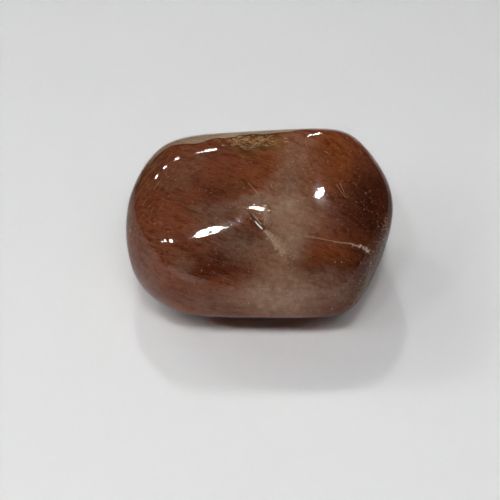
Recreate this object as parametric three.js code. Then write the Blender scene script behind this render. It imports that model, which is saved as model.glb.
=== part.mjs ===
// A tumbled quartz pebble: one polished stone resting on a small flat on its underside.
// Millimetres, +Z up, +X along the length, -Y towards the front. The origin is on the
// flat, under the middle of the stone.

import * as THREE from 'three';
import { mergeVertices } from 'three/addons/utils/BufferGeometryUtils.js';

// How far the resting flat lies below the core of the stone.
const REST_DEPTH = 9.4;

// Tumbling rounds every edge: a larger value leaves crisper edges between the faces.
const EDGE_CRISPNESS = 16;

// Each side of the sphere the stone is shaped from is divided into this many more.
const SURFACE_DETAIL = 18;

// The worn faces. Each one looks along a bearing (degrees about Z from +X) and a rise
// (degrees above level), and stands this far out from the core.
const FACES = [
  { name: 'underside', bearing: -90, rise: -90, reach: 9.8 },
  { name: 'front undercut', bearing: -90, rise: -50, reach: 10.4 },
  { name: 'front left undercut', bearing: -126, rise: -48, reach: 13.5 },
  { name: 'front right undercut', bearing: -52, rise: -50, reach: 13.3 },
  { name: 'front slope', bearing: -88, rise: 37, reach: 9.5 },
  { name: 'front toe', bearing: -90, rise: 8, reach: 11.2 },
  { name: 'broad top, left', bearing: -116, rise: 70, reach: 8.8 },
  { name: 'broad top, right', bearing: -38, rise: 60, reach: 10.8 },
  { name: 'back slope', bearing: 95, rise: 50, reach: 11.7 },
  { name: 'back', bearing: 92, rise: 3, reach: 10.8 },
  { name: 'back undercut', bearing: 90, rise: -45, reach: 11.2 },
  { name: 'left end', bearing: -179, rise: -4, reach: 16.3 },
  { name: 'left shoulder', bearing: 160, rise: 20, reach: 15.9 },
  { name: 'back left shoulder', bearing: 130, rise: 42, reach: 15.0 },
  { name: 'left undercut', bearing: -152, rise: -26, reach: 16.7 },
  { name: 'front left shoulder', bearing: -142, rise: 28, reach: 14.3 },
  { name: 'front left corner', bearing: -134, rise: -6, reach: 15.2 },
  { name: 'back right shoulder', bearing: 25, rise: 26, reach: 16.4 },
  { name: 'back right top', bearing: 45, rise: 36, reach: 16.8 },
  { name: 'right end', bearing: 0, rise: -2, reach: 16.1 },
  { name: 'right undercut', bearing: -18, rise: -18, reach: 15.0 },
  { name: 'front right corner', bearing: -38, rise: 4, reach: 15.1 },
  { name: 'back right undercut', bearing: 30, rise: -45, reach: 13.5 },
  { name: 'back left undercut', bearing: 150, rise: -45, reach: 13.5 },
];

// Low swells and hollows left in the broad top. Each is centred on a bearing and a rise,
// fades out over its spread (degrees) and lifts or sinks the face by its share of the reach.
const SWELLS = [
  { name: 'front ridge', bearing: -100, rise: 50, spread: 14, lift: 0.035 },
  { name: 'milky hollow', bearing: -62, rise: 58, spread: 14, lift: -0.035 },
  { name: 'dished left top', bearing: -120, rise: 75, spread: 20, lift: -0.02 },
];

const STONE_COLOR = 0x7a4a35;
const STONE_ROUGHNESS = 0.08;

function lookingAlong({ bearing, rise }) {
  const polarAngle = THREE.MathUtils.degToRad(90 - rise);
  const turn = THREE.MathUtils.degToRad(bearing);
  return new THREE.Vector3(
    Math.sin(polarAngle) * Math.cos(turn),
    Math.sin(polarAngle) * Math.sin(turn),
    Math.cos(polarAngle),
  );
}

const faces = FACES.map((face) => ({ ...face, normal: lookingAlong(face) }));

const swells = SWELLS.map((swell) => ({
  ...swell,
  centre: lookingAlong(swell),
  falloff: 1 - Math.cos(THREE.MathUtils.degToRad(swell.spread)),
}));

// Distance from the core to the skin. Summing the faces as high powers blends them into
// one smooth skin that lies flat in the middle of a face and rounds over between two.
function skinDistance(direction) {
  let sum = 0;
  for (const { normal, reach } of faces) {
    const lean = Math.max(direction.dot(normal), 0);
    sum += (lean / reach) ** EDGE_CRISPNESS;
  }
  let relief = 1;
  for (const { centre, falloff, lift } of swells) {
    relief += lift * Math.exp((direction.dot(centre) - 1) / falloff);
  }
  return relief * sum ** (-1 / EDGE_CRISPNESS);
}

// A point of the skin, measured from the core and cut off level at the resting flat.
function skinPoint(direction) {
  const point = direction.clone().multiplyScalar(skinDistance(direction));
  if (point.z < -REST_DEPTH) {
    point.multiplyScalar(REST_DEPTH / -point.z).setZ(-REST_DEPTH);
  }
  return point;
}

function stoneGeometry() {
  const sphere = new THREE.IcosahedronGeometry(1, SURFACE_DETAIL);
  sphere.deleteAttribute('normal');
  sphere.deleteAttribute('uv');
  const geometry = mergeVertices(sphere);

  const position = geometry.getAttribute('position');
  const points = [];
  for (let i = 0; i < position.count; i += 1) {
    const direction = new THREE.Vector3().fromBufferAttribute(position, i).normalize();
    points.push(skinPoint(direction));
  }

  const middle = new THREE.Box3().setFromPoints(points).getCenter(new THREE.Vector3());
  const origin = new THREE.Vector3(middle.x, middle.y, -REST_DEPTH);
  points.forEach((point, i) => {
    point.sub(origin);
    position.setXYZ(i, point.x, point.y, point.z);
  });
  geometry.computeVertexNormals();
  return geometry;
}

const stone = new THREE.Mesh(
  stoneGeometry(),
  new THREE.MeshStandardMaterial({ color: STONE_COLOR, roughness: STONE_ROUGHNESS }),
);
stone.name = 'quartz_stone';

const group = new THREE.Group();
group.name = 'tumbled_rutilated_quartz';
group.add(stone);

export default group;
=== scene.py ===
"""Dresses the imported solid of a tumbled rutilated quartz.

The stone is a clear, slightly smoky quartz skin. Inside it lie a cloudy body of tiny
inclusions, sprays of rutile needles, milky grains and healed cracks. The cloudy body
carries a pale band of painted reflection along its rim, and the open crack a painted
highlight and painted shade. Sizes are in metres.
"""

import math
import random
from typing import NamedTuple

import bmesh
import bpy
import numpy as np
from bpy.props import (
    FloatProperty,
    FloatVectorProperty,
    IntProperty,
    PointerProperty,
    StringProperty,
)
from mathutils import Matrix, Vector, noise
from mathutils.bvhtree import BVHTree
from mathutils.interpolate import poly_3d_calc


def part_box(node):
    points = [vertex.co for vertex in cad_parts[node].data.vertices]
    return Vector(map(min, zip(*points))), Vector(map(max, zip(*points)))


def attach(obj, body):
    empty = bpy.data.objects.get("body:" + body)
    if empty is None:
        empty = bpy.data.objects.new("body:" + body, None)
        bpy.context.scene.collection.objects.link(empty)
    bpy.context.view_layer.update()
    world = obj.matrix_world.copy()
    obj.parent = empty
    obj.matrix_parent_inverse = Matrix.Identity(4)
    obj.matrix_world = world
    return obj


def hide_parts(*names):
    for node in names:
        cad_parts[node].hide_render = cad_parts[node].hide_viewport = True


bl_info = {
    "name": "Tumbled Rutilated Quartz",
    "version": (1, 0, 0),
    "blender": (4, 5, 0),
    "location": "View3D > Sidebar > Quartz",
    "description": "Builds the polished quartz, its inclusions and a small studio",
    "category": "Add Mesh",
}

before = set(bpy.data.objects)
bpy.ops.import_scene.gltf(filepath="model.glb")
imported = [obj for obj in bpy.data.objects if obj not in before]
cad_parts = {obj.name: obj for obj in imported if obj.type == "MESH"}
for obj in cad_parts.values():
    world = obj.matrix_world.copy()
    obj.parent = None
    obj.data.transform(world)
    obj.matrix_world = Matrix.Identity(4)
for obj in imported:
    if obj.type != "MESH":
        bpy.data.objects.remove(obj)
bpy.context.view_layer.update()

STONE_NODE = "quartz_stone"
MM = 0.001

STONE_LOW, STONE_HIGH = (Vector(corner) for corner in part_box(STONE_NODE))
# The core that bearings and rises are measured from, as a share of the stone's height.
CORE_SHARE = 0.4615
CORE = Vector((0.00013, 0.00016, STONE_LOW.z + CORE_SHARE * (STONE_HIGH.z - STONE_LOW.z)))


def towards(bearing, rise):
    """The unit vector at a bearing about Z from +X and a rise above level, in degrees."""
    turn, lift = math.radians(bearing), math.radians(rise)
    level = math.cos(lift)
    return Vector((level * math.cos(turn), level * math.sin(turn), math.sin(lift)))


def mixed(ends, share):
    """The value that lies a share of the way between two ends."""
    start, end = ends
    return start + (end - start) * share


# ---------------------------------------------------------------- shader maths


class Wire:
    """A node socket that can be added, multiplied and compared in Python expressions."""

    def __init__(self, nodes, socket):
        self.nodes = nodes
        self.socket = socket

    def _math(self, operation, *values):
        return self.nodes.wire("ShaderNodeMath", {"operation": operation}, *values)

    def __add__(self, other):
        return self._math("ADD", self, other)

    def __sub__(self, other):
        return self._math("SUBTRACT", self, other)

    def __mul__(self, other):
        return self._math("MULTIPLY", self, other)

    def __radd__(self, other):
        return self._math("ADD", other, self)

    def __rsub__(self, other):
        return self._math("SUBTRACT", other, self)

    def __rmul__(self, other):
        return self._math("MULTIPLY", other, self)

    def most(self, other):
        return self._math("MAXIMUM", self, other)

    def ramp(self, low, high):
        """0 below low, 1 above high and a smooth rise between. low may be the larger."""
        smooth = {"interpolation_type": "SMOOTHSTEP"}
        return self.nodes.wire("ShaderNodeMapRange", smooth, self, low, high, 0.0, 1.0)


class Nodes:
    """The node tree of a new material, or of the world."""

    def __init__(self, owner):
        self.owner = owner
        owner.use_nodes = True
        self.tree = owner.node_tree
        self.tree.nodes.clear()

    def node(self, kind, settings=None, *values, **named):
        """Adds a node, makes its settings and feeds its sockets, by order or by name."""
        made = self.tree.nodes.new(kind)
        for key, value in (settings or {}).items():
            setattr(made, key, value)
        wanted = [(made.inputs[i], value) for i, value in enumerate(values)]
        wanted += [(made.inputs[key.replace("_", " ")], v) for key, v in named.items()]
        for socket, value in wanted:
            if isinstance(value, Wire):
                self.tree.links.new(value.socket, socket)
            else:
                socket.default_value = value
        return made

    def wire(self, kind, settings=None, *values, **named):
        return Wire(self, self.node(kind, settings, *values, **named).outputs[0])

    def place(self):
        """Object coordinates, in millimetres from the stone's origin."""
        spot = Wire(self, self.node("ShaderNodeTexCoord").outputs["Object"])
        return self.scaled(spot, 1 / MM)

    def scaled(self, vector, by):
        return self.wire("ShaderNodeVectorMath", {"operation": "MULTIPLY"}, vector, (by, by, by))

    def moved(self, vector, by):
        return self.wire("ShaderNodeVectorMath", {"operation": "ADD"}, vector, by)

    def turned(self, vector, centre, angles, scale):
        """The vector as seen from a centre, by turned axes, in units of scale."""
        return self.wire("ShaderNodeMapping", {"vector_type": "TEXTURE"}, vector, centre, angles, scale)

    def within(self, vector, centre, radii, turn=0.0, edge=(1.35, 0.3)):
        """How far inside a soft ellipsoid: 0 outside the edge's first share of its radii."""
        inner = self.turned(vector, centre, (0.0, 0.0, math.radians(turn)), radii)
        away = self.node("ShaderNodeVectorMath", {"operation": "LENGTH"}, inner)
        return Wire(self, away.outputs["Value"]).ramp(*edge)

    def noise(self, vector, scale, detail=2.0, roughness=0.5):
        """Smooth noise between 0 and 1, with lumps about 1 / scale across."""
        values = {"Vector": vector, "Scale": scale, "Detail": detail, "Roughness": roughness}
        return self.wire("ShaderNodeTexNoise", {}, **values)

    def stir(self, vector, scale, reach):
        """The vector pushed up to half of reach any way, by noise of a scale."""
        node = self.node("ShaderNodeTexNoise", {}, Vector=vector, Scale=scale, Detail=3.0)
        push = self.moved(Wire(self, node.outputs["Color"]), (-0.5, -0.5, -0.5))
        return self.moved(vector, self.scaled(push, reach))

    def streaks(self, vector, bearing, rise, length, width):
        """Noise drawn out along a bearing and a rise."""
        angles = (0.0, -math.radians(rise), math.radians(bearing))
        drawn = self.turned(vector, (0.0, 0.0, 0.0), angles, (length, width, width))
        return self.noise(drawn, 1.0, 3.0, 0.62)

    def blend(self, share, first, second, way="MIX"):
        """The first colour where share is 0 and the second where it is 1."""
        node = self.node("ShaderNodeMix", {"data_type": "RGBA", "blend_type": way})
        for key, value in ((0, share), (6, first), (7, second)):
            if isinstance(value, Wire):
                self.tree.links.new(value.socket, node.inputs[key])
            elif key:
                node.inputs[key].default_value = (*value, 1.0)
            else:
                node.inputs[key].default_value = value
        return Wire(self, node.outputs[2])

    def tinted(self, share, first, second):
        """The first colour multiplied by the second, as far as share says."""
        return self.blend(share, first, second, "MULTIPLY")

    def bump(self, height, distance, strength=1.0):
        return self.wire("ShaderNodeBump", {}, Height=height, Distance=distance, Strength=strength)

    def attribute(self, name):
        """A number that each corner of the mesh carries."""
        return Wire(self, self.node("ShaderNodeAttribute", {"attribute_name": name}).outputs["Fac"])

    def finish(self, shader, volume=None):
        output = self.node("ShaderNodeOutputMaterial", {"target": "ALL"})
        self.tree.links.new(shader.socket, output.inputs["Surface"])
        if volume is not None:
            self.tree.links.new(volume.socket, output.inputs["Volume"])
        return self.owner


def new_material(name):
    return Nodes(bpy.data.materials.new(name))


# ------------------------------------------------------------------ settings


def colour_property(name, description, default):
    """A setting that holds a colour."""
    return FloatVectorProperty(
        name=name, description=description, subtype="COLOR", default=default, min=0.0, max=1.0
    )


def number_property(name, description, default, low=0.0, **more):
    """A setting that holds a number, no lower than low."""
    return FloatProperty(name=name, description=description, default=default, min=low, **more)


def piece_property(name, description, default):
    """An operator's choice of the piece to make."""
    return StringProperty(name=name, description=description, default=default)


class StoneSettings(bpy.types.PropertyGroup):
    """The clear quartz that holds everything else."""

    smoke: colour_property(
        "Smoke", "Colour that light takes on its way through the quartz", (0.86, 0.62, 0.45)
    )
    smoke_density: number_property(
        "Smoke density", "How strongly the quartz absorbs, per metre", 90.0
    )
    refraction: number_property("Refraction", "Refractive index of quartz", 1.544, 1.0)
    polish: number_property(
        "Polish", "Roughness of the tumbled surface where it is best polished", 0.02, max=1.0
    )


class CloudSettings(bpy.types.PropertyGroup):
    """The mass of inclusions too fine to see one by one."""

    depth: number_property(
        "Depth", "How far the cloud mostly stays below the skin", 0.0006, 0.0001, unit="LENGTH"
    )
    brown: colour_property("Brown", "Red-brown of the fibrous left part", (0.38, 0.114, 0.047))
    milk: colour_property("Milk", "Taupe of the milky band", (0.56, 0.37, 0.25))
    amber: colour_property("Amber", "Orange-brown patches", (0.38, 0.110, 0.020))
    umber: colour_property("Umber", "Dark brown of the right end", (0.085, 0.015, 0.002))
    wine: colour_property("Wine", "Dark red streaks low on the front", (0.155, 0.028, 0.008))
    mauve: colour_property("Mauve", "Purplish brown beside the open crack", (0.30, 0.165, 0.120))
    # Pale also colours the band of painted reflection where the skin turns away from the camera.
    pale: colour_property("Pale", "Clear grey band along the back edge", (0.66, 0.53, 0.40))
    olive: colour_property("Olive", "Olive gold behind the golden needles", (0.36, 0.178, 0.052))


class NeedleSettings(bpy.types.PropertyGroup):
    """The rutile needles."""

    thickness: number_property(
        "Thickness", "Width of a typical needle", 0.000024, 0.000005, unit="LENGTH"
    )
    gold: colour_property("Gold", "Colour of the golden needles", (1.0, 0.67, 0.27))
    spark: colour_property("Spark", "Colour of the brightest needles", (1.0, 0.82, 0.56))
    russet: colour_property("Russet", "Colour of the red-brown needles", (0.52, 0.23, 0.12))
    shade: colour_property("Shade", "Colour of the darkest needles", (0.10, 0.028, 0.010))
    seed: IntProperty(name="Seed", description="Changes where the needles lie", default=7, min=0)


class StageSettings(bpy.types.PropertyGroup):
    """The floor, the lamps and the camera."""

    floor: colour_property("Floor", "Colour of the pale floor", (0.80, 0.80, 0.80))
    floor_span: number_property("Floor span", "Width of the floor", 0.9, unit="LENGTH")
    camera_rise: number_property(
        "Camera rise",
        "How far above level the camera looks down from",
        math.radians(42),
        subtype="ANGLE",
    )
    camera_reach: number_property(
        "Camera reach", "Distance from the stone's core to the camera", 0.150, unit="LENGTH"
    )


# ------------------------------------------------------------------- helpers

MERGE_DISTANCE = 0.001 * MM


def stone_bmesh():
    """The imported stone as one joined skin."""
    skin = bmesh.new()
    skin.from_mesh(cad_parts[STONE_NODE].data)
    bmesh.ops.remove_doubles(skin, verts=skin.verts, dist=MERGE_DISTANCE)
    skin.normal_update()
    return skin


class Skin:
    """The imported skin, for finding places on and under it."""

    def __init__(self):
        self.bm = stone_bmesh()
        self.bm.faces.ensure_lookup_table()
        self.tree = BVHTree.FromBMesh(self.bm)

    def spot(self, bearing, rise):
        """The place and smooth outward normal where a way from the core meets the skin."""
        place, _, face, _ = self.tree.ray_cast(CORE, towards(bearing, rise))
        corners = self.bm.faces[face].verts
        shares = poly_3d_calc([corner.co for corner in corners], place)
        normal = Vector()
        for corner, share in zip(corners, shares):
            normal += corner.normal * share
        return place, normal.normalized()

    def inner(self, bearing, rise, depth):
        """A place under the skin."""
        place, normal = self.spot(bearing, rise)
        return place - normal * depth


def as_mesh(name, bm):
    """The finished bmesh as a mesh."""
    mesh = bpy.data.meshes.new(name)
    bm.to_mesh(mesh)
    bm.free()
    return mesh


def add_piece(name, bm, material, smooth=True):
    """Makes a finished bmesh a piece of the stone, in its place."""
    mesh = as_mesh(name, bm)
    mesh.polygons.foreach_set("use_smooth", [smooth] * len(mesh.polygons))
    mesh.materials.append(material)
    piece = bpy.data.objects.new(name, mesh)
    bpy.context.scene.collection.objects.link(piece)
    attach(piece, "root")
    return piece


def smoothed(bm, rounds, shares=(0.5, -0.52)):
    """Evens out a mesh by steps towards and away from the middle of each corner's ring."""
    for _ in range(rounds):
        for share in shares:
            bmesh.ops.smooth_vert(
                bm, verts=bm.verts, factor=share, use_axis_x=True, use_axis_y=True, use_axis_z=True
            )
    bm.normal_update()


def subdivided(bm, levels):
    """The bmesh smoothed and divided by a Subdivision Surface."""
    mesh = as_mesh("rough_form", bm)
    form = bpy.data.objects.new("rough_form", mesh)
    bpy.context.scene.collection.objects.link(form)
    smoother = form.modifiers.new("smooth", "SUBSURF")
    smoother.levels = smoother.render_levels = levels
    depsgraph = bpy.context.evaluated_depsgraph_get()
    fine = bpy.data.meshes.new_from_object(form.evaluated_get(depsgraph))
    bpy.data.objects.remove(form)
    bpy.data.meshes.remove(mesh)
    result = bmesh.new()
    result.from_mesh(fine)
    bpy.data.meshes.remove(fine)
    return result


# ------------------------------------------------------------- the quartz skin

# How many rounds of smoothing the polished skin gets.
POLISH_ROUNDS = 30

# Steps between two points of a row that the skin is worked along.
ROW_STEPS = 16

# How much the depth of a pressed row varies, how wide the variations are and how many
# widths away the row still sinks the skin.
PRESS_VARIATION = 0.35
PRESS_GRAIN = 0.3 * MM
PRESS_REACH = 3

# Small flats on the peak: both ends of each and the way it faces (bearing, rise), how far
# it spreads at both ends in millimetres and how crisp its border is.
FLATS = (
    (((-103.5, 56.8), (-87, 55)), (-124.53, 72.69), (0.45, 0.7), 1.7),
    (((-131, 56.2), (-124, 56.2)), (-129.85, 73.44), (1.1, 1.1), 3.0),
    (((-107, 47.6), (-101, 45.8)), (-113.59, 59.89), (0.5, 0.5), 6.0),
)

# Small pits in the polish: bearing, rise, radius and depth in millimetres.
PITS = (
    (-87, 20, 0.26, 0.12),
    (-20, 72, 0.20, 0.08),
    (28, 63, 0.18, 0.08),
    (-31, 12, 0.45, 0.12),
    (-60, 8, 0.18, 0.08),
)

# Shallow grooves in the polish: the way each runs (bearing, rise), its width and depth in
# millimetres. The open crack is broken out at the peak and heals down the front, and the
# hair crack runs from the milky band to a chip at the right end.
GROOVES = (
    (((-101, 51), (-95, 48), (-89, 44), (-86, 41)), 0.26, 0.03),
    (((-87, 40), (-80, 33), (-76, 29), (-73, 24)), 0.10, 0.06),
    (((-58, 33), (-48, 27), (-40, 22), (-34, 18)), 0.08, 0.03),
)


def between(points, steps):
    """A finer row of points along straight stretches."""
    fine = []
    for start, end in zip(points, points[1:]):
        fine += [start.lerp(end, i / steps) for i in range(steps)]
    return fine + [points[-1]]


def refine(bm, row, reach):
    """Divides the faces near a row of points twice."""
    for _ in range(2):
        touched = {v for v in bm.verts if min((v.co - p).length for p in row) < reach}
        edges = [e for e in bm.edges if e.verts[0] in touched and e.verts[1] in touched]
        bmesh.ops.subdivide_edges(bm, edges=edges, cuts=1, use_grid_fill=True)
    bm.normal_update()


def flatten(bm, ends, normal, reaches, crispness):
    """Draws the skin along a line onto a plane, fading out over part of the reach."""
    row = between(ends, ROW_STEPS)
    refine(bm, row, max(reaches))
    middle = row[ROW_STEPS // 2]
    spans = [mixed(reaches, i / ROW_STEPS) for i in range(ROW_STEPS + 1)]
    for vertex in bm.verts:
        away = min((vertex.co - p).length / span for p, span in zip(row, spans))
        if away < 1:
            share = min(1.0, crispness * (1 - away))
            share = share * share * (3 - 2 * share)
            vertex.co -= normal * normal.dot(vertex.co - middle) * share


def press(bm, row, width, depth):
    """Sinks the skin by depth along a row of points, fading out over width."""
    refine(bm, row, 2 * width)
    sunk = []
    for vertex in bm.verts:
        away = min((vertex.co - p).length for p in row) / width
        if away < PRESS_REACH:
            ragged = 1 + PRESS_VARIATION * noise.noise(vertex.co / PRESS_GRAIN)
            sunk.append((vertex, vertex.normal * depth * ragged * math.exp(-away * away)))
    for vertex, way in sunk:
        vertex.co -= way


def shape_skin(bm, skin):
    """Works the pits, the cracks and the flats into the skin."""
    for bearing, rise, radius, depth in PITS:
        press(bm, [skin.spot(bearing, rise)[0]], radius * MM, depth * MM)
    for way, width, depth in GROOVES:
        row = between([skin.spot(*spot)[0] for spot in way], ROW_STEPS)
        press(bm, row, width * MM, depth * MM)
    for way, facing, reaches, crispness in FLATS:
        ends = [skin.spot(*spot)[0] for spot in way]
        reaches = [reach * MM for reach in reaches]
        flatten(bm, ends, towards(*facing), reaches, crispness)


# Worn or hazy places in the polish: the centre and radii in millimetres and the turn about Z.
RIGHT_END = ((15.0, -5.2, 8.6), (2.2, 4.2, 7.0), -20)
LEFT_FOOT = ((-9.0, -9.0, 8.5), (8.0, 6.0, 3.6), 0)
DULL_PEAK = ((-2.2, -6.1, 16.4), (1.2, 0.9, 1.0))
HAZY_LEFT = ((-5.0, -5.4, 16.0), (3.3, 2.4, 2.0))
HAZY_RIGHT = ((5.9, -3.6, 17.2), (2.1, 1.9, 1.7))
FRAYED_PEAK = ((-3.0, -5.9, 16.3), (0.8, 0.8, 0.8))
RUBBED_TOP = ((4.9, -4.5, 17.2), (1.5, 1.3, 1.0))
CHIPPED_FRONT = ((2.2, -8.1, 14.2), (2.0, 1.6, 2.2), -30)
# The soft second sheen: everywhere, how much more in the hazy places, and its roughness.
COAT_WEIGHT = 0.08
HAZE_WEIGHT = 0.46
COAT_ROUGHNESS = 0.2


def quartz_material(settings):
    """Clear polished quartz with a faint smoky brown, scuffed in a few places."""
    n = new_material("polished_quartz")
    place = n.place()
    stirred = n.stir(place, 1.1, 1.6)
    right_end = n.within(stirred, *RIGHT_END)
    grit = n.noise(place, 4.0, 4.0, 0.7)
    worn = right_end * grit.ramp(0.44, 0.60)
    frayed = n.within(stirred, *FRAYED_PEAK)
    rubbed = n.within(stirred, *RUBBED_TOP)
    chipped = n.within(stirred, *CHIPPED_FRONT)
    dull = n.within(place, *DULL_PEAK)
    hazy = n.within(stirred, *HAZY_LEFT).most(n.within(stirred, *HAZY_RIGHT))
    scuffs = frayed.most(rubbed).most(chipped)
    roughness = settings.polish + 0.015 * n.noise(place, 0.35) + 0.3 * worn + 0.06 * dull
    roughness = roughness + 0.12 * scuffs * grit.ramp(0.5, 0.66)
    low_wave = 0.02 * n.within(place, *LEFT_FOOT, (1.2, 0.8))
    height = low_wave * n.noise(place, 1.3) + 0.16 * worn * grit + 0.015 * scuffs * grit
    skin = n.wire(
        "ShaderNodeBsdfPrincipled",
        {},
        Base_Color=(1.0, 1.0, 1.0, 1.0),
        Roughness=roughness,
        IOR=settings.refraction,
        Transmission_Weight=1.0,
        Normal=n.bump(height, MM),
        Coat_Weight=COAT_WEIGHT + HAZE_WEIGHT * hazy,
        Coat_Roughness=COAT_ROUGHNESS,
    )
    smoke = (*settings.smoke, 1.0)
    absorbing = n.wire("ShaderNodeVolumeAbsorption", {}, smoke, settings.smoke_density)
    return n.finish(skin, absorbing)


class QUARTZ_OT_skin(bpy.types.Operator):
    """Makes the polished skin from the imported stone, with its pits and cracks"""

    bl_idname = "quartz.skin"
    bl_label = "Polished skin"

    def execute(self, context):
        bm = subdivided(stone_bmesh(), 1)
        smoothed(bm, POLISH_ROUNDS)
        shape_skin(bm, Skin())
        piece = add_piece("stone_skin", bm, quartz_material(context.scene.quartz_stone))
        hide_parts(STONE_NODE)
        return {"FINISHED"}


# ------------------------------------------------------------ the cloudy body

# Soft patches of colour in the cloud, from the first laid to the last: the setting that
# holds its colour, its centre and radii in millimetres, its turn about Z and its strength.
PATCHES = (
    ("umber", (14.5, -1.0, 13.0), (6.0, 7.5, 7.5), 0, 0.97),
    ("umber", (11.0, -4.5, 15.0), (4.0, 3.5, 2.6), 0, 0.5),
    ("umber", (12.0, -8.0, 9.5), (5.5, 3.0, 4.4), 0, 0.8),
    ("umber", (7.0, -8.6, 11.6), (4.6, 2.2, 1.6), 0, 0.45),
    ("umber", (8.5, -10.8, 6.6), (5.0, 3.0, 3.0), 0, 0.45),
    ("umber", (-5.6, -1.4, 17.3), (3.4, 1.7, 1.4), -15, 0.36),
    ("umber", (2.2, -0.4, 18.8), (1.8, 1.8, 1.2), 0, 0.14),
    ("olive", (-0.5, 4.0, 19.4), (4.6, 2.0, 1.8), 0, 0.95),
    ("olive", (-2.0, -2.4, 17.8), (2.6, 1.8, 1.4), -20, 0.5),
    ("amber", (1.0, 0.4, 18.8), (2.2, 3.0, 2.0), 0, 0.35),
    ("amber", (8.3, 2.6, 18.6), (3.4, 4.4, 3.4), 0, 0.9),
    ("amber", (8.6, -8.8, 12.8), (4.0, 1.8, 1.4), 0, 0.6),
    ("mauve", (7.2, -5.2, 16.0), (3.0, 2.6, 2.0), 0, 0.45),
    ("mauve", (-2.8, -7.6, 14.4), (3.6, 2.2, 1.9), 0, 0.85),
    ("mauve", (-4.6, -4.8, 16.4), (3.2, 2.2, 1.4), 0, 0.6),
    ("mauve", (7.6, -9.8, 9.6), (4.4, 2.2, 2.4), 0, 0.7),
    ("mauve", (-6.8, -11.2, 7.7), (4.8, 2.2, 2.2), 0, 0.5),
    ("wine", (-5.2, -9.6, 11.8), (4.4, 1.8, 1.5), 0, 0.85),
    ("wine", (-3.4, -9.0, 13.0), (3.0, 1.4, 1.0), 0, 0.8),
    ("umber", (-2.0, -7.9, 14.6), (2.0, 0.9, 1.0), 0, 0.3),
    ("milk", (4.0, 1.0, 19.4), (2.6, 4.8, 2.4), -8, 0.44),
    ("milk", (3.0, -3.0, 17.8), (2.8, 3.0, 2.4), 0, 0.58),
    ("milk", (-1.6, -4.4, 17.0), (2.4, 1.8, 1.4), 0, 0.75),
    ("milk", (-5.2, -5.0, 16.0), (3.4, 2.2, 1.8), 0, 0.36),
    ("milk", (0.9, -5.6, 16.4), (1.6, 1.3, 1.0), 0, 0.6),
    ("milk", (4.6, -5.4, 16.4), (3.0, 2.4, 2.2), 20, 0.65),
    ("milk", (3.0, -8.0, 14.2), (3.0, 2.6, 3.0), 0, 0.85),
    ("milk", (2.2, -10.8, 9.4), (5.6, 2.8, 4.2), 0, 0.95),
    ("milk", (-1.6, -8.5, 13.7), (2.6, 1.5, 1.6), 0, 0.5),
    ("milk", (0.3, -3.9, 17.2), (2.0, 1.6, 1.2), 0, 0.55),
    ("milk", (4.7, -7.4, 14.8), (2.2, 1.4, 1.6), 0, 0.3),
    ("mauve", (3.0, -2.4, 18.1), (2.0, 1.8, 1.3), 0, 0.45),
    ("milk", (-9.8, 0.4, 17.0), (3.6, 2.6, 1.8), 0, 0.2),
    ("milk", (0.3, -9.2, 12.6), (2.2, 1.4, 1.6), 0, 0.3),
    ("pale", (2.6, -4.9, 16.8), (2.6, 1.8, 1.6), 0, 0.45),
    ("pale", (-0.2, -3.4, 17.4), (2.2, 1.5, 1.2), 0, 0.42),
    ("pale", (-8.7, 2.0, 18.0), (2.4, 2.0, 1.3), 0, 0.26),
    ("pale", (-9.2, -9.4, 12.4), (2.4, 1.6, 1.2), 0, 0.24),
    ("pale", (-2.1, -5.4, 16.7), (1.5, 1.2, 1.0), 0, 0.25),
    ("pale", (4.6, -7.3, 15.0), (2.0, 1.5, 1.5), 0, 0.25),
)


# What darkens or lightens the cloud: its broad and fine fibres, its slow drift, its fine
# grain, the clots in its milky parts and the painted shade along the front edge of the pale
# band of painted rim reflection.
BROAD_SHADE = (0.56, 0.40, 0.32)
FINE_SHADE = (0.60, 0.48, 0.40)
FINE_LIGHT = (0.62, 0.36, 0.21)
DRIFT_SHADE = (0.66, 0.54, 0.46)
GRAIN_SHADE = (0.60, 0.50, 0.44)
CLOT_LIGHT = (0.70, 0.50, 0.34)
CLOT_SHADE = (0.62, 0.48, 0.40)
PAINTED_RIM_EDGE_SHADE = (0.28, 0.17, 0.11)

# Where the fibres run along the upper left edge and where they run along the foot: centre
# and radii in millimetres and the turn about Z.
UPPER_LEFT_EDGE = ((-12.0, 3.5, 17.2), (3.4, 4.2, 2.6), 40)
FRONT_FOOT = ((-2.0, -12.0, 9.0), (14.0, 5.0, 6.5))


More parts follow.
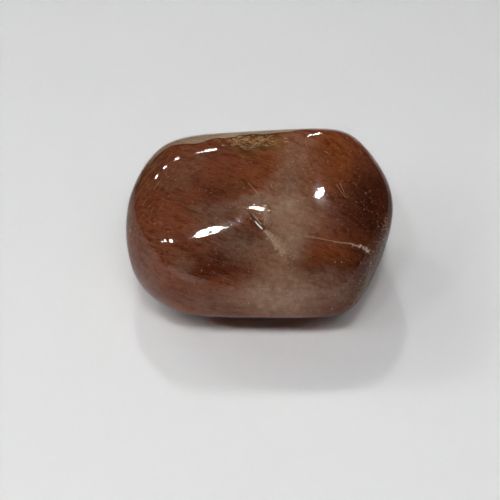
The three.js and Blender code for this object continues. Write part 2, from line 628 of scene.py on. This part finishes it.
def cloud_material(settings):
    """Fine inclusions: fibrous red-brown with patches of other browns and milk, and a pale
    band of painted rim reflection with painted shade along its front edge.
    """
    n = new_material("fine_inclusions")
    place = n.place()
    stirred = n.stir(n.stir(place, 0.22, 2.8), 1.2, 1.2)
    bent = n.stir(place, 0.5, 1.3)
    drift = n.noise(place, 0.4, 3.0, 0.6)
    grain = n.noise(place, 2.6, 4.0, 0.65)
    broad = n.streaks(bent, -26, -2, 3.2, 0.5)
    fine = n.streaks(bent, -22, -2, 1.4, 0.14)
    low = n.streaks(bent, -6, -8, 2.6, 0.5)
    rim = n.streaks(bent, 43, 20, 1.8, 0.2)
    at_rim = n.within(stirred, *UPPER_LEFT_EDGE)
    lower = n.within(stirred, *FRONT_FOOT)

    dark = n.blend(lower, broad, low)
    dark = n.blend(at_rim, dark, rim)
    colour, milkiness = settings.brown, 0.0
    for name, centre, radii, turn, strength in PATCHES:
        share = strength * n.within(stirred, centre, radii, turn)
        colour = n.blend(share, colour, getattr(settings, name))
        if name == "milk":
            milkiness = share.most(milkiness)
    fibrous = 1 - 0.85 * milkiness
    colour = n.tinted(0.75 * fibrous * dark.ramp(0.54, 0.36), colour, BROAD_SHADE)
    colour = n.tinted(0.3 * fibrous * fine.ramp(0.50, 0.34), colour, FINE_SHADE)
    colour = n.blend(0.2 * fibrous * fine.ramp(0.54, 0.68), colour, FINE_LIGHT)
    colour = n.tinted(0.35 * drift.ramp(0.56, 0.40), colour, DRIFT_SHADE)
    colour = n.tinted(0.3 * grain.ramp(0.52, 0.38), colour, GRAIN_SHADE)
    clots = n.noise(bent, 1.5, 4.0, 0.7)
    colour = n.blend(0.5 * milkiness * clots.ramp(0.50, 0.66), colour, CLOT_LIGHT)
    colour = n.tinted(0.5 * milkiness * clots.ramp(0.46, 0.32), colour, CLOT_SHADE)
    # The band attributes place a pale band of painted reflection where the skin turns away from the
    # camera, with painted shade along its front edge.
    margin = n.attribute("band") + 0.05 * (n.noise(place, 1.2, 3.0, 0.6) - 0.5)
    band = margin.ramp(0.0, 0.05)
    edge = margin.ramp(-0.10, -0.02) * (1 - band)
    fade = n.attribute("band_fade")
    colour = n.tinted(0.75 * fade * edge, colour, PAINTED_RIM_EDGE_SHADE)
    colour = n.blend(fade * band * (0.94 - 0.25 * fine.ramp(0.52, 0.36)), colour, settings.pale)
    lumps = n.bump(0.12 * grain + 0.12 * dark, MM, 0.7)
    shader = n.wire(
        "ShaderNodeBsdfPrincipled", {}, Base_Color=colour, Roughness=0.7, IOR=1.1, Normal=lumps
    )
    return n.finish(shader)


# How many rounds of smoothing the cloud's surface gets before it is made lumpy, how much
# its depth then varies and the lowest value of the lumps.
CLOUD_ROUNDS = 3
LUMP_VARIATION = 0.9
LUMP_FLOOR = -0.8

# Where the quartz is clear to a greater depth: bearing, rise, spread in degrees and how
# much deeper the cloud lies there, in millimetres.
CLEAR_RIMS = (
    (135, 38, 20, 0.5),
    (168, 20, 24, 0.6),
    (-178, 0, 22, 1.2),
    (0, 0, 22, 1.2),
)

# The way towards the camera. The pale band, a painted reflection of the floor at grazing
# angles, lies where the skin turns away from it along the back edge and the left side, and
# starts so far round at bearings about the core.
TOWARDS_CAMERA = towards(-90, 42)
PAINTED_RIM_BEARINGS = (34, 55, 90, 130, 155, 165, 175, 185, 196, 204)
PAINTED_RIM_STARTS = (-0.7, 0.36, 0.46, 0.46, 0.30, 0.08, 0.02, 0.0, -0.04, -0.7)
# Where on the far side the band starts to fade out and where it is gone.
PAINTED_RIM_FADE = (-0.05, -0.55)


def painted_rim_shares(vertex):
    """How far inside the front edge of the band of painted rim reflection a corner lies, and how strong
    that painted band is.
    """
    way = vertex.co - CORE
    bearing = math.degrees(math.atan2(way.y, way.x)) % 360
    facing = vertex.normal.dot(TOWARDS_CAMERA)
    margin = np.interp(bearing, PAINTED_RIM_BEARINGS, PAINTED_RIM_STARTS) - facing
    start, end = PAINTED_RIM_FADE
    return margin, min(1.0, max(0.0, (facing - end) / (start - end)))


class QUARTZ_OT_cloud(bpy.types.Operator):
    """Makes the lumpy mass of fine inclusions inside the skin, with the band of painted rim reflection
    on it
    """

    bl_idname = "quartz.cloud"
    bl_label = "Cloud of fine inclusions"

    lump_size: number_property(
        "Lump size", "Width of the lumps in the cloud's surface", 0.0032, unit="LENGTH"
    )

    def execute(self, context):
        settings = context.scene.quartz_cloud
        bm = stone_bmesh()
        smoothed(bm, CLOUD_ROUNDS, (0.5,))
        # These layers hold where the band of painted rim reflection lies and how strong it is.
        band = bm.verts.layers.float.new("band")
        fade = bm.verts.layers.float.new("band_fade")
        for vertex in bm.verts:
            vertex[band], vertex[fade] = painted_rim_shares(vertex)
            lump = noise.fractal(vertex.co / self.lump_size, 1.0, 2.0, 3)
            depth = settings.depth * (1.0 + LUMP_VARIATION * max(lump, LUMP_FLOOR))
            way = (vertex.co - CORE).normalized()
            for bearing, rise, spread, extra in CLEAR_RIMS:
                apart = math.degrees(way.angle(towards(bearing, rise))) / spread
                depth += extra * MM * math.exp(-apart * apart)
            vertex.co -= vertex.normal * depth
        add_piece("fine_inclusions", subdivided(bm, 1), cloud_material(settings))
        return {"FINISHED"}


# ---------------------------------------------------------------- the needles

NEEDLE_SIDES = 3
# The width of a needle's tip against its root.
NEEDLE_TIP = 0.3
# How much of the way to the skin a needle may run, the least share of its length that has
# to fit, how much of the run towards the skin is taken out and how its width varies.
CLEAR_SHARE = 0.94
LEAST_RUN = 0.5
LEVELLED = 0.93
WIDTH_RANGE = (0.5, 1.7)


class Spray(NamedTuple):
    """A spray of needles, with angles in degrees and sizes in millimetres."""

    # The middle of the skin that it lies under, and how far it spreads there.
    middle: tuple
    spread: tuple
    # The way the needles run and how much they scatter.
    along: tuple
    scatter: float
    depth: tuple
    length: tuple
    # The thickness against the typical one.
    thick: float
    count: int
    # From dark, 0, to gold, 1, and on to the brightest, 1.4.
    tone: tuple
    # How far the spread's first axis is turned from level.
    turn: float = 0.0


SPRAYS = {
    "russet_needles": Spray(
        (-158, 40), (30, 20), (-25, -2), 0.18, (0.06, 0.9), (0.3, 3.0), 1.1, 1300, (0.0, 0.6)
    ),
    "rim_needles": Spray(
        (171, 28), (10, 4.5), (48, 24), 0.16, (0.05, 0.5), (0.3, 1.7), 1.3, 360, (0.0, 1.0)
    ),
    "golden_needles": Spray(
        (108, 68.6), (8.5, 2.0), (-6, 0), 0.24, (0.02, 0.2), (0.15, 0.75), 3.5, 340, (0.0, 1.5), -30
    ),
    "amber_needles": Spray(
        (4, 46), (16, 12), (-30, -5), 0.9, (0.06, 0.6), (0.1, 0.5), 2.4, 150, (0.3, 0.85)
    ),
    "feather_needles": Spray(
        (-112, 24), (26, 12), (-60, -45), 0.3, (0.05, 0.4), (0.3, 1.3), 0.9, 90, (0.4, 0.7)
    ),
    "low_needles": Spray(
        (-115, 12), (34, 10), (-5, -7), 0.16, (0.08, 0.9), (0.5, 3.6), 0.8, 300, (0.0, 0.45)
    ),
    "back_needles": Spray(
        (120, 0), (60, 40), (20, 10), 0.3, (0.06, 0.9), (0.6, 4.0), 1.0, 2000, (0.0, 0.7)
    ),
}

# Single bright needles close to the skin: both ends (bearing, rise), the width and the
# depth in millimetres.
GLINTS = (
    ((-8, 42), (-14.5, 34.8), 0.12, 0.08),
    ((-5.5, 40.5), (-14, 34.5), 0.10, 0.14),
    ((118, 66.5), (110, 67), 0.14, 0.04),
    ((96, 68), (88, 68.6), 0.14, 0.04),
    ((80, 69), (72, 66.5), 0.12, 0.04),
    ((19, 51), (15.5, 48.5), 0.07, 0.15),
    ((13, 54), (10.5, 52), 0.06, 0.15),
    ((112, 73), (96, 71), 0.09, 0.10),
    ((127, 66), (118, 70), 0.08, 0.10),
    ((124, 71), (104, 75), 0.08, 0.15),
    ((88, 70), (76, 69), 0.07, 0.10),
    ((36, 71), (28, 70), 0.06, 0.10),
    ((-133, 76), (-99, 70.5), 0.06, 0.12),
    ((-104, 72.5), (-92, 66.5), 0.05, 0.2),
    ((-60, 75), (-62, 70.5), 0.05, 0.2),
)
GLINT_TONE = 1.2


def rutile(settings):
    """Rutile with a metallic lustre, from dark through red-brown to gold by its tone."""
    if "rutile" in bpy.data.materials:
        return bpy.data.materials["rutile"]
    n = new_material("rutile")
    tone = n.attribute("tone")
    colour = n.blend(tone.ramp(0.0, 0.5), settings.shade, settings.russet)
    colour = n.blend(tone.ramp(0.5, 1.0), colour, settings.gold)
    colour = n.blend(tone.ramp(1.0, 1.4), colour, settings.spark)
    shader = n.wire("ShaderNodeBsdfPrincipled", {}, Base_Color=colour, Metallic=0.35, Roughness=0.5)
    return n.finish(shader)


def needle_template():
    """One tapered needle from -1 to 1 along Z, with a root of radius 1."""
    bm = bmesh.new()
    bmesh.ops.create_cone(
        bm, cap_ends=True, segments=NEEDLE_SIDES, radius1=1.0, radius2=NEEDLE_TIP, depth=2.0
    )
    return as_mesh("needle", bm)


def clear_run(tree, middle, way, wanted):
    """How far a needle can run from its middle one way before it would break the skin."""
    hit = tree.ray_cast(middle, way)
    return min(wanted, CLEAR_SHARE * hit[3]) if hit[0] is not None else 0.0


def scattered_way(middle, spread, rng, turn=0.0):
    """A way from the core, strewn about a middle by a spread that is turned from level."""
    way = towards(*middle)
    level = Vector((0, 0, 1)).cross(way).normalized()
    level = Matrix.Rotation(math.radians(turn), 3, way) @ level
    upward = way.cross(level)
    wide, tall = (math.tan(math.radians(angle)) for angle in spread)
    return (way + level * rng.gauss(0, wide) + upward * rng.gauss(0, tall)).normalized()


def needle_place(centre, run, width, half):
    """The matrix that gives a needle its middle, its way, its root's radius and half length."""
    turn = run.to_track_quat("Z", "Y").to_matrix().to_4x4()
    return Matrix.Translation(centre) @ turn @ Matrix.Diagonal((width, width, half, 1.0))


def needle_places(skin, spray, thickness, rng):
    """The placing matrix of each needle in a spray."""
    along = towards(*spray.along)
    places = []
    while len(places) < spray.count:
        way = scattered_way(spray.middle, spray.spread, rng, spray.turn)
        place, normal, _, _ = skin.tree.ray_cast(CORE, way)
        place = place - normal * MM * mixed(spray.depth, rng.random() ** 1.5)
        run = along + Vector([rng.gauss(0, spray.scatter) for _ in range(3)])
        run = (run - normal * LEVELLED * run.dot(normal)).normalized()
        half = 0.5 * MM * rng.uniform(*spray.length)
        ahead = clear_run(skin.tree, place, run, half)
        behind = clear_run(skin.tree, place, -run, half)
        if ahead + behind < LEAST_RUN * half:
            continue
        width = 0.5 * thickness * spray.thick * rng.uniform(*WIDTH_RANGE)
        centre = place + run * 0.5 * (ahead - behind)
        places.append(needle_place(centre, run, width, 0.5 * (ahead + behind)))
    return places


def add_tones(piece, tones, corners):
    """Gives each copy of a shape with so many corners its own tone."""
    tone = piece.data.attributes.new("tone", "FLOAT", "POINT")
    tone.data.foreach_set("value", np.repeat(tones, corners))


def add_copies(name, template, places, material, tones):
    """Makes one piece that holds the template at every placing matrix, each in its tone."""
    corners = len(template.vertices)
    shape = np.empty(3 * corners)
    template.vertices.foreach_get("co", shape)
    shape = np.column_stack((shape.reshape(-1, 3), np.ones(corners)))
    bm = bmesh.new()
    for place in places:
        moved = shape @ np.array(place).T
        template.vertices.foreach_set("co", moved[:, :3].ravel())
        bm.from_mesh(template)
    bpy.data.meshes.remove(template)
    add_tones(add_piece(name, bm, material, smooth=False), tones, corners)


class QUARTZ_OT_glints(bpy.types.Operator):
    """Makes the single bright needles close to the skin"""

    bl_idname = "quartz.glints"
    bl_label = "Single bright needles"

    def execute(self, context):
        skin = Skin()
        places = []
        for first, last, width, depth in GLINTS:
            start, end = (skin.inner(*spot, depth * MM) for spot in (first, last))
            run = end - start
            places.append(needle_place((start + end) / 2, run, width * MM / 2, run.length / 2))
        material = rutile(context.scene.quartz_needles)
        tones = [GLINT_TONE] * len(places)
        add_copies("bright_needles", needle_template(), places, material, tones)
        return {"FINISHED"}


class QUARTZ_OT_needles(bpy.types.Operator):
    """Makes one spray of rutile needles inside the stone"""

    bl_idname = "quartz.needles"
    bl_label = "Spray of needles"

    spray: piece_property("Spray", "Which spray to make", "russet_needles")

    def execute(self, context):
        settings = context.scene.quartz_needles
        spray = SPRAYS[self.spray]
        rng = random.Random(f"{settings.seed} {self.spray}")
        places = needle_places(Skin(), spray, settings.thickness, rng)
        tones = [rng.uniform(*spray.tone) for _ in places]
        add_copies(self.spray, needle_template(), places, rutile(settings), tones)
        return {"FINISHED"}


# ------------------------------------------------------- cracks and loose grains

# Each strip of a crack: the way it runs (bearing, rise), its widths at both ends and how
# deep it lies, in millimetres, how ragged it is and its tone from dark, 0, to white, 1.
# The dark strip at the open crack is a painted shadow, the dark line along the healed
# crack's lower side is painted shade, and the white strip, which lies just above the skin,
# is a painted highlight along the open crack's edge.
STRIPS = {
    # A painted shadow: a dark strip in the open crack's chip.
    "open_crack_shadow": (
        ((-105, 53.5), (-98, 49), (-92, 45), (-85.5, 41)), (0.10, 0.22), 0.10, 0.6, 0.0
    ),
    "open_crack_core": (((-99, 52), (-95, 49.5), (-90, 46)), (0.20, 0.46), 0.14, 0.8, 0.2),
    # A painted highlight: a white strip just above the skin along the open crack's edge.
    "open_crack_edge": (
        ((-95.5, 46.8), (-91.7, 44), (-87.8, 41.3)), (0.06, 0.22), -0.02, 0.3, 1.3
    ),
    "open_crack_strand": (((-98, 51.5), (-93, 48), (-88.5, 44)), (0.06, 0.09), 0.06, 1.2, 0.5),
    # Painted shade: a dark line along the lower side of the healed crack's seam.
    "healed_crack_line": (((-87.5, 40), (-82, 34), (-79, 30.5)), (0.12, 0.04), 0.08, 1.2, 0.14),
    "healed_crack_seam": (
        ((-86, 40.5), (-79.5, 33.8), (-75.5, 29), (-72, 23.5)), (0.4, 1.2), 0.12, 1.2, 0.44
    ),
    "hair_crack_line": (
        ((-56, 32), (-48, 27.4), (-40, 21.8), (-35, 18.8)), (0.05, 0.10), 0.14, 1.2, 0.34
    ),
}
STRIP_STEPS = 60
STRIP_ROWS = 6
STRIP_THICKNESS = 0.02 * MM
# How quickly a strip widens from both ends, the width it starts with, its narrowest, the
# size of its ragged teeth and how much its depth varies with them.
STRIP_TAPER = 8
STRIP_TIP = 0.15
STRIP_NARROWEST = 0.3
STRIP_TEETH = 0.25 * MM
STRIP_DEPTH_VARIATION = 0.4

# The mineral in the cracks where its tone is 0, 0.5 and 1. The dark also paints shade
# beside the cracks and the white a highlight on the open crack's edge.
CRACK_DARK = (0.09, 0.028, 0.013)
CRACK_TAN = (0.82, 0.57, 0.38)
CRACK_WHITE = (0.95, 0.90, 0.84)


def crack_filling():
    """Rough mineral that fills a crack, from dark through tan to white by its tone, also used for
    painted shade and a painted highlight at the cracks.
    """
    if "crack_filling" in bpy.data.materials:
        return bpy.data.materials["crack_filling"]
    n = new_material("crack_filling")
    tone = n.attribute("tone")
    place = n.place()
    tone = tone + 0.5 * (n.noise(place, 6.0, 4.0, 0.7) - 0.5)
    colour = n.blend(tone.ramp(0.0, 0.5), CRACK_DARK, CRACK_TAN)
    colour = n.blend(tone.ramp(0.5, 1.0), colour, CRACK_WHITE)
    shader = n.wire("ShaderNodeBsdfPrincipled", {}, Base_Color=colour, Roughness=0.6)
    return n.finish(shader)


def strip_bmesh(skin, way, widths, depth, ragged):
    """A thin ragged strip that follows the skin at a depth."""
    bm = bmesh.new()
    bmesh.ops.create_grid(bm, x_segments=STRIP_STEPS, y_segments=STRIP_ROWS, size=0.5)
    row = between([skin.spot(*spot)[0] for spot in way], STRIP_STEPS)
    for vertex in bm.verts:
        along, across = vertex.co.x + 0.5, 2 * vertex.co.y
        index = min(int(along * (len(row) - 1)), len(row) - 2)
        place, forward = row[index], row[index + 1] - row[index]
        _, normal, _, _ = skin.tree.find_nearest(place)
        side = normal.cross(forward).normalized()
        width = mixed(widths, along)
        width *= 0.5 * min(1.0, STRIP_TAPER * min(along, 1 - along) + STRIP_TIP) * MM
        rough = noise.fractal((place + side * across * width) / STRIP_TEETH, 1.0, 2.0, 3)
        width *= max(STRIP_NARROWEST, 1 + ragged * rough)
        sunk = depth * MM * (1 + STRIP_DEPTH_VARIATION * rough)
        nearest, normal, _, _ = skin.tree.find_nearest(place + side * across * width)
        vertex.co = nearest - normal * sunk
    below = bmesh.ops.extrude_face_region(bm, geom=bm.faces[:])["geom"]
    for vertex in below:
        if isinstance(vertex, bmesh.types.BMVert):
            _, normal, _, _ = skin.tree.find_nearest(vertex.co)
            vertex.co -= normal * STRIP_THICKNESS
    bmesh.ops.recalc_face_normals(bm, faces=bm.faces)
    return bm


class QUARTZ_OT_crack(bpy.types.Operator):
    """Makes one strip of a crack's filling, or of painted shade or a painted highlight at a crack"""

    bl_idname = "quartz.crack"
    bl_label = "Strip of a crack"

    strip: piece_property("Strip", "Which strip to make", "healed_crack_line")

    def execute(self, context):
        way, widths, depth, ragged, tone = STRIPS[self.strip]
        bm = strip_bmesh(Skin(), way, widths, depth, ragged)
        piece = add_piece(self.strip, bm, crack_filling())
        add_tones(piece, [tone], len(piece.data.vertices))
        return {"FINISHED"}


# Each group of grains: the middle of the skin they lie under, how far they spread there
# (degrees), their depth and radius in millimetres, their number and their tones.
GRAINS = {
    "milky_grains": ((-80, 35), (22, 26), (0.03, 0.5), (0.010, 0.040), 900, (0.45, 0.75)),
    "stray_grains": ((-90, 45), (60, 50), (0.03, 0.4), (0.015, 0.085), 600, (0.15, 0.55)),
}

# Each grainy band along a crack: the way it runs (bearing, rise), its widths at both ends,
# the depth and radius of its grains in millimetres, their number and their tones.
BANDS = {
    "open_crack_side": (
        ((-85.5, 58), (-82.5, 52), (-84, 46)),
        (0.6, 1.3), (0.05, 0.3), (0.02, 0.08), 700, (0.3, 0.7)
    ),
    "healed_crack": (
        ((-85.5, 40), (-78, 33.8), (-74, 29), (-70, 23)),
        (0.4, 1.9), (0.04, 0.2), (0.02, 0.08), 1500, (0.26, 0.66)
    ),
    "hair_crack": (
        ((-60, 34), (-48, 27.4), (-40, 21.8), (-35, 18.8)),
        (0.4, 0.16), (0.05, 0.2), (0.01, 0.05), 460, (0.3, 0.62)
    ),
    "worn_end": (
        ((-9, 16), (-15, 13.8), (-27, 10), (-33, 6), (-36, 0), (-40, -4), (-45, -8)),
        (0.9, 3.0), (-0.04, 0.0), (0.03, 0.11), 520, (0.0, 0.27)
    ),
    "hair_crack_chip": (
        ((-36, 19), (-32.6, 16), (-30, 12)),
        (0.4, 0.6), (0.03, 0.12), (0.025, 0.1), 130, (0.4, 0.95)
    ),
}


def add_grains(name, spots, depths, radii, tones, rng):
    """Makes grains of random size, depth and turn under places on the skin."""
    places = []
    for place, normal in spots:
        place = place - normal * MM * mixed(depths, rng.random() ** 2)
        radius = MM * mixed(radii, rng.random() ** 3)
        turn = Vector([rng.gauss(0, 1) for _ in range(3)]).to_track_quat("Z", "Y")
        size = Matrix.Diagonal((radius, radius * rng.uniform(0.4, 1.0), radius, 1.0))
        places.append(Matrix.Translation(place) @ turn.to_matrix().to_4x4() @ size)
    grain = bmesh.new()
    bmesh.ops.create_icosphere(grain, subdivisions=1, radius=1.0)
    tones = [rng.uniform(*tones) for _ in places]
    add_copies(name, as_mesh("grain", grain), places, crack_filling(), tones)


class QUARTZ_OT_grains(bpy.types.Operator):
    """Makes one group of loose grains just under the skin"""

    bl_idname = "quartz.grains"
    bl_label = "Loose grains"

    group: piece_property("Group", "Which group of grains to make", "milky_grains")

    def execute(self, context):
        middle, spread, depths, radii, count, tones = GRAINS[self.group]
        rng = random.Random(f"{context.scene.quartz_needles.seed} {self.group}")
        skin = Skin()
        ways = [scattered_way(middle, spread, rng) for _ in range(count)]
        spots = [skin.tree.ray_cast(CORE, way)[:2] for way in ways]
        add_grains(self.group, spots, depths, radii, tones, rng)
        return {"FINISHED"}


class QUARTZ_OT_band(bpy.types.Operator):
    """Makes one grainy band along a crack"""

    bl_idname = "quartz.band"
    bl_label = "Grainy band of a crack"

    band: piece_property("Band", "Which band to make", "healed_crack")

    def execute(self, context):
        way, widths, depths, radii, count, tones = BANDS[self.band]
        rng = random.Random(f"{context.scene.quartz_needles.seed} {self.band}")
        skin = Skin()
        row = between([skin.spot(*spot)[0] for spot in way], STRIP_STEPS)
        spots = []
        for _ in range(count):
            along = rng.random()
            index = int(along * (len(row) - 1))
            side = Vector([rng.gauss(0, 1) for _ in range(3)])
            place = row[index] + side * mixed(widths, along) / 4 * MM
            spots.append(skin.tree.find_nearest(place)[:2])
        add_grains(self.band, spots, depths, radii, tones, rng)
        return {"FINISHED"}


# ------------------------------------------------------------------ the stage

VIEW_BEARING = -90
IMAGE_SPAN = 500
# Where the stone's core stands in the frame, in pixels of a 500 pixel wide image.
CORE_PIXEL = (260.0, 228.0)
PIXELS_PER_MM = 8.28
# The width of the camera's sensor, in millimetres.
SENSOR_WIDTH = 36.0

# The lamps that only show as gleams in the polish: their bearing and rise, their length
# and width in degrees and how far their length is turned from level.
GLEAMS = {
    "key_low": (-121.6, 65.3, 9.0, 1.5, 148),
    "key_middle": (-127.3, 67.8, 13.5, 1.8, 136),
    "key_high": (-136.1, 69.2, 14.5, 1.2, 128),
    "left_spot_a": (-166.0, 30.2, 5.0, 1.8, 78),
    "left_spot_b": (-163.1, 37.9, 4.8, 3.2, 68),
    "left_spot_c": (-154.6, 48.8, 6.4, 5.6, 143),
    "back_spot_a": (144.3, 57.0, 2.2, 0.7, 83),
    "back_spot_b": (139.6, 58.6, 2.0, 1.0, 94),
    "back_spot_c": (135.0, 60.7, 2.1, 0.8, 80),
    "back_strip": (127.9, 63.2, 2.4, 0.75, 57),
    "back_strip_tip": (130.3, 63.5, 1.2, 0.5, 134),
    "right_lamp_high": (18.5, 57.7, 12.5, 2.2, 106),
    "right_lamp_low": (21.1, 54.2, 8.3, 1.3, 99),
    "far_strip_high": (71.9, 40.3, 12.1, 2.3, 95),
    "far_strip_low": (70.3, 31.4, 17.1, 2.2, 104),
}
# The wide sheet of light low in front, which the lower left side mirrors.
CARDS = {
    "front_card": (-117, 1, 49, 29, 0),
}
GLEAM_REACH = 6.0
GLEAM_BRIGHTNESS = 100.0
CARD_BRIGHTNESS = 1.7

# The lamps that only light the floor: their bearing and rise, their distance in metres
# and what they add to the floor's brightness, from 0 to 1.
FLOOR_LIGHTS = {
    "front_light": (-90, 62, 0.34, 0.17),
    "front_left_light": (-114, 56, 0.26, 0.10),
    "front_right_light": (-66, 56, 0.60, 0.10),
    "low_right_light": (-42, 45, 1.00, 0.025),
    "left_light": (-144, 43, 0.32, 0.07),
    "low_left_light": (-165, 30, 0.60, 0.02),
    "back_light": (101, 56, 0.80, 0.125),
    "back_left_light": (142, 45, 0.45, 0.075),
    "low_back_light": (165, 30, 0.60, 0.035),
}
# The width of a floor light against its distance.
FLOOR_LIGHT_WIDTH = 0.09

# How bright the surroundings are for light that falls on the floor, for light that goes
# into the stone and for what the polish mirrors.
ROOM_LIGHT = 0.03
INNER_LIGHT = 0.60
MIRRORED_LIGHT = 0.025
# How far overhead the room's light starts and where it is full, from 0 to 1.
OVERHEAD = (0.35, 0.85)


class QUARTZ_OT_stage(bpy.types.Operator):
    """Makes the floor, the lamps, the surrounding light and the camera"""

    bl_idname = "quartz.stage"
    bl_label = "Floor, lamps and camera"

    def execute(self, context):
        scene = context.scene
        settings = scene.quartz_stage
        self.add_floor(scene, settings)
        self.add_camera(scene, settings)
        for name, lamp in GLEAMS.items():
            self.add_gleam(scene, name, lamp, GLEAM_BRIGHTNESS)
        for name, card in CARDS.items():
            self.add_gleam(scene, name, card, CARD_BRIGHTNESS)
        for name, (bearing, rise, reach, share) in FLOOR_LIGHTS.items():
            self.add_floor_light(scene, settings, name, towards(bearing, rise), reach, share)
        self.add_surroundings(scene)
        scene.view_settings.view_transform = "Standard"
        return {"FINISHED"}

    def add_floor(self, scene, settings):
        bm = bmesh.new()
        bmesh.ops.create_grid(bm, x_segments=1, y_segments=1, size=settings.floor_span / 2)
        mesh = as_mesh("floor", bm)
        floor = bpy.data.objects.new("floor", mesh)
        scene.collection.objects.link(floor)
        n = new_material("pale_paper")
        colour = (*settings.floor, 1.0)
        paper = n.wire("ShaderNodeBsdfPrincipled", {}, Base_Color=colour, Roughness=0.7)
        mesh.materials.append(n.finish(paper))

    def add_camera(self, scene, settings):
        data = bpy.data.cameras.new("camera")
        camera = bpy.data.objects.new("camera", data)
        data.sensor_width = SENSOR_WIDTH
        span = IMAGE_SPAN / PIXELS_PER_MM * MM
        data.lens = SENSOR_WIDTH * settings.camera_reach / span
        way = towards(VIEW_BEARING, math.degrees(settings.camera_rise))
        right = Vector((0, 0, 1)).cross(way).normalized()
        upward = way.cross(right)
        half = IMAGE_SPAN / 2
        aim = CORE
        aim = aim - right * (CORE_PIXEL[0] - half) / PIXELS_PER_MM * MM
        aim = aim + upward * (CORE_PIXEL[1] - half) / PIXELS_PER_MM * MM
        spot = CORE + way * settings.camera_reach
        turn = (spot - aim).to_track_quat("Z", "Y").to_matrix().to_4x4()
        camera.matrix_world = Matrix.Translation(spot) @ turn
        scene.collection.objects.link(camera)
        scene.camera = camera

    def add_lamp(self, scene, name, way, roll, reach, size, energy):
        """An oval lamp on a way from the core, with its first axis turned from level."""
        data = bpy.data.lights.new(name, "AREA")
        data.shape = "ELLIPSE"
        data.size, data.size_y = size
        data.energy = energy
        lamp = bpy.data.objects.new(name, data)
        turn = way.to_track_quat("Z", "Y").to_matrix() @ Matrix.Rotation(roll, 3, "Z")
        lamp.matrix_world = Matrix.Translation(CORE + way * reach) @ turn.to_4x4()
        lamp.visible_transmission = False
        scene.collection.objects.link(lamp)
        return lamp

    def add_gleam(self, scene, name, lamp, brightness):
        """A lamp that only shows as a gleam in the polish."""
        bearing, rise, *spans, roll = lamp
        size = [2 * GLEAM_REACH * math.tan(math.radians(span / 2)) for span in spans]
        way, energy = towards(bearing, rise), brightness * size[0] * size[1]
        lamp = self.add_lamp(scene, name, way, math.radians(roll), GLEAM_REACH, size, energy)
        lamp.visible_diffuse = False

    def add_floor_light(self, scene, settings, name, way, reach, share):
        """A lamp that lights the floor and isn't mirrored in the stone."""
        size = (FLOOR_LIGHT_WIDTH * reach, FLOOR_LIGHT_WIDTH * reach)
        energy = share / settings.floor[0] * math.pi**2 * reach**2 / way.z
        lamp = self.add_lamp(scene, name, way, 0.0, reach, size, energy)
        lamp.visible_glossy = False

    def add_surroundings(self, scene):
        scene.world = bpy.data.worlds.new("surroundings")
        n = Nodes(scene.world)
        path = n.node("ShaderNodeLightPath")
        entering = Wire(n, path.outputs["Is Transmission Ray"])
        mirrored = Wire(n, path.outputs["Is Glossy Ray"]) * (1 - entering)
        way = n.node("ShaderNodeTexCoord").outputs["Generated"]
        parts = n.node("ShaderNodeSeparateXYZ", {}, Wire(n, way))
        overhead = Wire(n, parts.outputs["Z"]).ramp(*OVERHEAD)
        strength = INNER_LIGHT * entering + MIRRORED_LIGHT * mirrored
        strength = strength + ROOM_LIGHT * overhead * (1 - entering) * (1 - mirrored)
        light = n.wire("ShaderNodeBackground", {}, (1.0, 1.0, 1.0, 1.0), strength)
        output = n.node("ShaderNodeOutputWorld")
        n.tree.links.new(light.socket, output.inputs["Surface"])


class QUARTZ_PT_panel(bpy.types.Panel):
    """Lists the sizes, the colours and the pieces"""

    bl_label = "Tumbled Rutilated Quartz"
    bl_idname = "QUARTZ_PT_panel"
    bl_space_type = "VIEW_3D"
    bl_region_type = "UI"
    bl_category = "Quartz"

    def draw(self, context):
        layout = self.layout
        scene = context.scene
        for name in SETTINGS:
            box = layout.box()
            group = getattr(scene, name)
            for key in group.bl_rna.properties.keys():
                if key not in ("rna_type", "name"):
                    box.prop(group, key)
        layout.operator(QUARTZ_OT_skin.bl_idname)
        layout.operator(QUARTZ_OT_cloud.bl_idname)
        for spray in SPRAYS:
            layout.operator(QUARTZ_OT_needles.bl_idname, text=spray).spray = spray
        layout.operator(QUARTZ_OT_glints.bl_idname)
        for strip in STRIPS:
            layout.operator(QUARTZ_OT_crack.bl_idname, text=strip).strip = strip
        for group in GRAINS:
            layout.operator(QUARTZ_OT_grains.bl_idname, text=group).group = group
        for band in BANDS:
            layout.operator(QUARTZ_OT_band.bl_idname, text=band).band = band
        layout.operator(QUARTZ_OT_stage.bl_idname)


SETTINGS = {
    "quartz_stone": StoneSettings,
    "quartz_cloud": CloudSettings,
    "quartz_needles": NeedleSettings,
    "quartz_stage": StageSettings,
}
CLASSES = (
    *SETTINGS.values(),
    QUARTZ_OT_skin,
    QUARTZ_OT_cloud,
    QUARTZ_OT_needles,
    QUARTZ_OT_glints,
    QUARTZ_OT_crack,
    QUARTZ_OT_grains,
    QUARTZ_OT_band,
    QUARTZ_OT_stage,
    QUARTZ_PT_panel,
)


def register():
    for cls in CLASSES:
        bpy.utils.register_class(cls)
    for name, group in SETTINGS.items():
        setattr(bpy.types.Scene, name, PointerProperty(type=group))


def unregister():
    for name in SETTINGS:
        delattr(bpy.types.Scene, name)
    for cls in reversed(CLASSES):
        bpy.utils.unregister_class(cls)


def main():
    register()
    bpy.ops.quartz.skin()
    bpy.ops.quartz.cloud()
    for spray in SPRAYS:
        bpy.ops.quartz.needles(spray=spray)
    bpy.ops.quartz.glints()
    for strip in STRIPS:
        bpy.ops.quartz.crack(strip=strip)
    for group in GRAINS:
        bpy.ops.quartz.grains(group=group)
    for band in BANDS:
        bpy.ops.quartz.band(band=band)
    bpy.ops.quartz.stage()


if __name__ == "__main__":
    main()
